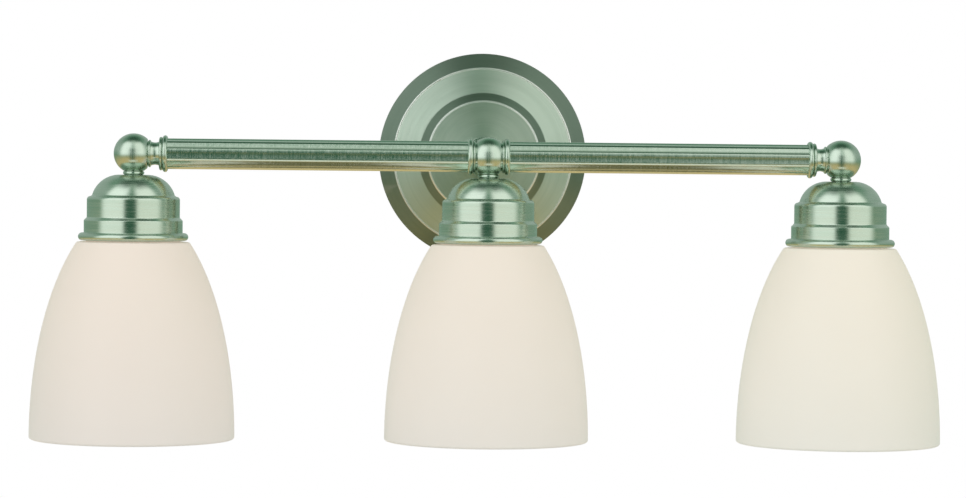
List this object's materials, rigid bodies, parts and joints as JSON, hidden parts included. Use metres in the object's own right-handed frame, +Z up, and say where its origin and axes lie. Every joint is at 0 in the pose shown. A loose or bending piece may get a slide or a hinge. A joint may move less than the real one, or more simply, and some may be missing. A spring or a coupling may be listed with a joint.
{
  "type": "vanity light bar",
  "caption": "Wall-mounted vanity light bar with a round stepped canopy, fluted tubes, ball knuckles and bell-shaped opal glass shades that open downwards.",
  "frame": {"origin": "the point of the wall plane on the canopy's axis, midway between the strap's two box-screw slots", "axes": "+Y into the wall, -Y into the room, +X to the viewer's right along the bar, +Z up"},
  "size_m": [0.567, 0.1778, 0.2447],
  "materials": {
    "brushed_nickel": "satin brushed nickel, slightly green",
    "zinc_steel": "zinc plated",
    "opal_glass": "opal white, satin",
    "frosted_glass": "frosted",
    "dark_phenolic": "moulded phenolic",
    "brass": "plain",
    "tinned_brass": "tinned",
    "ground_green": "green dyed zinc",
    "lead_black": "insulated wire",
    "lead_white": "insulated wire",
    "lead_green": "insulated wire",
    "connector_plastic": "moulded",
    "bulb_cap_metal": "bright",
    "black_insulator": "black glass",
    "solder_tip": "solder"
  },
  "bodies": {
    "fixture": {"arm_locknut": "zinc_steel", "arm_nipple": "zinc_steel", "arm_tooth_washer": "zinc_steel", "arm_tube": "brushed_nickel", "bar_tube_left": "brushed_nickel", "bar_tube_right": "brushed_nickel", "canopy": "brushed_nickel", "canopy_cap_nuts": "brushed_nickel", "canopy_studs": "zinc_steel", "centre_collars": "brushed_nickel", "centre_contacts": "brass", "centre_knuckle": "brushed_nickel", "drop_nipples": "zinc_steel", "end_collars": "brushed_nickel", "end_knuckle_left": "brushed_nickel", "end_knuckle_right": "brushed_nickel", "fitter_cup_centre": "brushed_nickel", "fitter_cup_left": "brushed_nickel", "fitter_cup_right": "brushed_nickel", "fitter_locknuts": "zinc_steel", "ground_lead": "lead_green", "ground_ring": "tinned_brass", "ground_screw": "ground_green", "lampholder_body_centre": "dark_phenolic", "lampholder_body_left": "dark_phenolic", "lampholder_body_right": "dark_phenolic", "lampholder_cap_centre": "dark_phenolic", "lampholder_cap_left": "dark_phenolic", "lampholder_cap_right": "dark_phenolic", "line_connector": "connector_plastic", "line_leads": "lead_black", "mounting_strap": "zinc_steel", "neutral_connector": "connector_plastic", "neutral_leads": "lead_white", "screw_shell_centre": "brass", "screw_shell_left": "brass", "screw_shell_right": "brass", "seat_collars": "brushed_nickel", "shade_glass_centre": "opal_glass", "shade_glass_left": "opal_glass", "shade_glass_right": "opal_glass", "shade_ring_centre": "dark_phenolic", "shade_ring_left": "dark_phenolic", "shade_ring_right": "dark_phenolic", "stud_nuts": "zinc_steel", "terminal_screws": "brass", "tube_nipples": "zinc_steel"},
    "bulb_left": {"bulb_cap_left": "bulb_cap_metal", "bulb_glass_left": "frosted_glass", "bulb_insulator_left": "black_insulator", "bulb_tip_left": "solder_tip"},
    "bulb_centre": {"bulb_cap_centre": "bulb_cap_metal", "bulb_glass_centre": "frosted_glass", "bulb_insulator_centre": "black_insulator", "bulb_tip_centre": "solder_tip"},
    "bulb_right": {"bulb_cap_right": "bulb_cap_metal", "bulb_glass_right": "frosted_glass", "bulb_insulator_right": "black_insulator", "bulb_tip_right": "solder_tip"}
  },
  "joints": [
    {"name": "bulb_left_out", "type": "slide", "parent": "fixture", "child": "bulb_left", "axis": [0, 0, -1], "range_m": [0, 0.16]},
    {"name": "bulb_centre_out", "type": "slide", "parent": "fixture", "child": "bulb_centre", "axis": [0, 0, -1], "range_m": [0, 0.16]},
    {"name": "bulb_right_out", "type": "slide", "parent": "fixture", "child": "bulb_right", "axis": [0, 0, -1], "range_m": [0, 0.16]}
  ]
}
